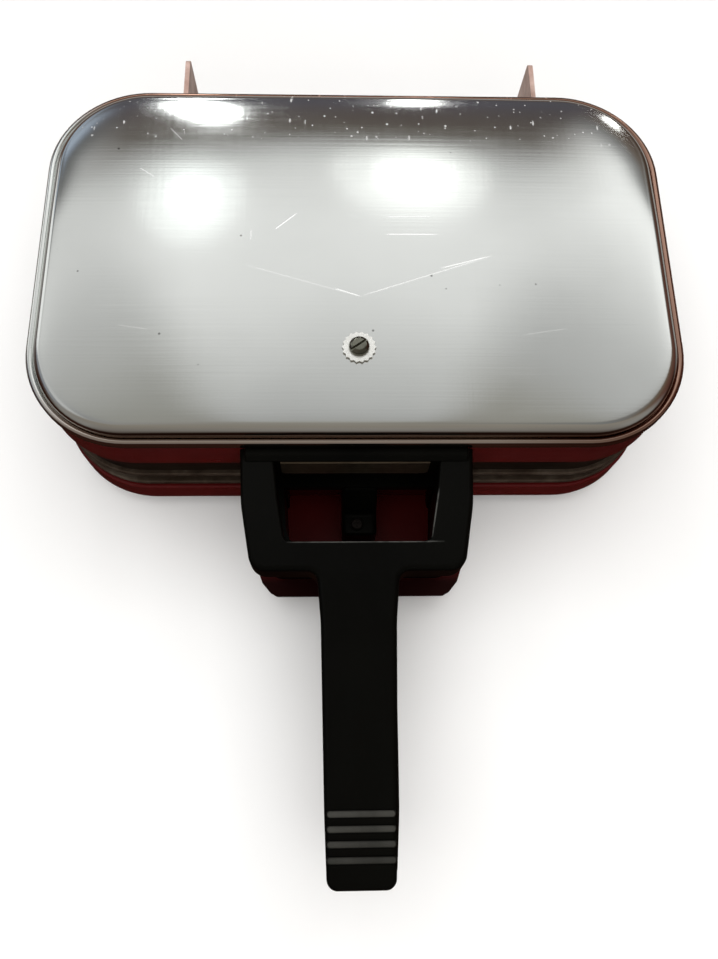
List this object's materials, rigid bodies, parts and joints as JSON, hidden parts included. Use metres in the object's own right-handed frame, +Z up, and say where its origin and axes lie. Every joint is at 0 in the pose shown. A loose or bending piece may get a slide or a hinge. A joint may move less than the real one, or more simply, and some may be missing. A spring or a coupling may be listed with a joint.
{
  "type": "sandwich and waffle maker",
  "caption": "Electric sandwich and waffle maker: two hinged halves with cast grid plates, polished lid, red bands, black forked handles, rear brackets and feet.",
  "frame": {"origin": "on the floor under the feet, below the middle of the bounding box", "axes": "+Z up, handles point along -Y, hinge and inlet at +Y, +X to the right seen from the handles"},
  "size_m": [0.25, 0.336, 0.0869],
  "materials": {
    "chrome": "polished",
    "red_enamel": "gloss",
    "dark_steel": "heat darkened",
    "cast_plate": "cast, seasoned",
    "black_moulding": "satin",
    "bright_steel": "zinc plated",
    "bracket_steel": "rolled",
    "strip_metal": "anodised",
    "sheath_steel": "oxidised",
    "ceramic": "unglazed",
    "reflector_sheet": "bright",
    "base_steel": "matt",
    "rubber": "matt",
    "pin_metal": "plated"
  },
  "bodies": {
    "lower_half": {"lower_band": "red_enamel", "lower_grid_plate": "cast_plate", "lower_element": "sheath_steel", "lower_element_beads": "ceramic", "lower_element_saddles": "bright_steel", "lower_reflector": "reflector_sheet", "base_cover": "base_steel", "base_screws": "bright_steel", "feet": "rubber", "foot_screws": "bright_steel", "lower_handle": "black_moulding", "lower_handle_screws": "bright_steel", "handle_shield": "red_enamel", "shield_screw": "bright_steel", "shield_nut": "bright_steel", "hinge_bracket_left": "bracket_steel", "hinge_bracket_right": "bracket_steel", "bracket_rivets": "bright_steel", "inlet_shroud": "bright_steel", "inlet_block": "ceramic", "inlet_pins": "pin_metal", "inlet_earth_springs": "pin_metal", "inlet_screws": "bright_steel", "terminal_links": "pin_metal", "lower_lead_bush": "black_moulding", "thermostat": "ceramic", "thermostat_bracket": "bright_steel"},
    "hinge_rod_body": {"hinge_rod": "bright_steel", "rod_clips": "bright_steel"},
    "upper_half": {"top_cover": "chrome", "cover_washer": "bright_steel", "cover_screw": "bright_steel", "cover_post": "bright_steel", "upper_band": "red_enamel", "upper_pan": "dark_steel", "upper_grid_plate": "cast_plate", "upper_element": "sheath_steel", "upper_element_beads": "ceramic", "upper_element_saddles": "bright_steel", "upper_reflector": "reflector_sheet", "upper_spacers": "bright_steel", "upper_plate_screws": "bright_steel", "upper_handle": "black_moulding", "upper_handle_screws": "bright_steel", "name_strip": "strip_metal", "hinge_lug_left": "bracket_steel", "hinge_lug_right": "bracket_steel", "lug_rivets": "bright_steel", "upper_lead_bush": "black_moulding"}
  },
  "joints": [
    {"name": "hinge_float", "type": "slide", "parent": "lower_half", "child": "hinge_rod_body", "axis": [0, 0, 1], "range_m": [0, 0.008]},
    {"name": "lid_hinge", "type": "hinge", "parent": "hinge_rod_body", "child": "upper_half", "pos_m": [0.0027, 0.159, 0.036], "axis": [-1, 0, 0], "range_deg": [0, 100]}
  ]
}
